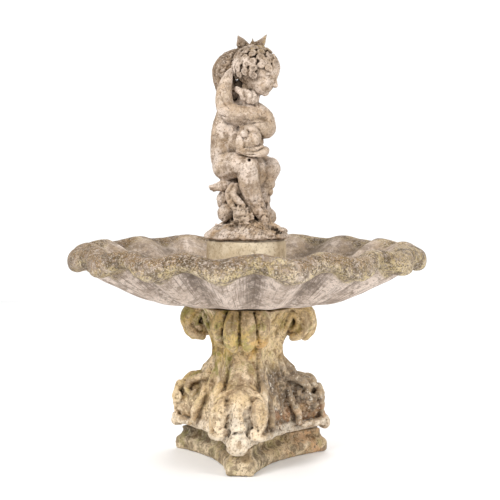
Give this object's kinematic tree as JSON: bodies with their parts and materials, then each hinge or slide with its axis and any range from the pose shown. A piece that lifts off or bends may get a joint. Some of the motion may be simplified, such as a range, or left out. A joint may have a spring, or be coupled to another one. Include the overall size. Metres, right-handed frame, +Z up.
{
  "type": "garden fountain",
  "caption": "Tiered stone fountain: hollow-sided plinth, scroll-console pedestal, scalloped bowl and a boy-and-fish figure group with its water pipe and drain.",
  "frame": {"origin": "on the ground, at the centre of the plinth's underside, on the axis of bowl and drum", "axes": "+Z up, -Y is the front, towards which the jet hole faces"},
  "size_m": [1.1514, 1.1514, 1.3801],
  "materials": {
    "bowl_stone": "weathered cast stone with lichen on the rim",
    "brass": "dull brass",
    "copper": null,
    "drum_stone": "weathered cast stone",
    "figure_stone": "weathered cast stone",
    "mortar": "rough lime mortar",
    "pedestal_stone": "weathered cast stone with algae and lichen",
    "plinth_stone": "weathered cast stone",
    "rubber": "matt",
    "stainless_steel": "plain"
  },
  "bodies": {
    "fountain": {"bowl": "bowl_stone", "bowl_dowel_1": "stainless_steel", "bowl_dowel_2": "stainless_steel", "bowl_dowel_3": "stainless_steel", "bowl_mortar_bed": "mortar", "connector_backnut": "brass", "connector_washer": "rubber", "drain_backnut": "brass", "drain_washer": "rubber", "drain_waste": "brass", "drum": "drum_stone", "drum_mortar_bed": "mortar", "figure": "figure_stone", "figure_dowel_1": "stainless_steel", "figure_dowel_2": "stainless_steel", "figure_mortar_bed": "mortar", "figure_riser": "copper", "inlet_union": "brass", "jet_tube": "copper", "pedestal": "pedestal_stone", "plinth": "plinth_stone", "plinth_dowel_1": "stainless_steel", "plinth_dowel_2": "stainless_steel", "plinth_dowel_3": "stainless_steel", "plinth_mortar_bed": "mortar", "supply_pipe": "copper", "tank_connector": "brass"},
    "stopper": {"drain_stopper": "rubber"}
  },
  "joints": [
    {"name": "stopper_lift", "type": "slide", "parent": "fountain", "child": "stopper", "axis": [0, 0, 1], "range_m": [0, 0.04]}
  ]
}
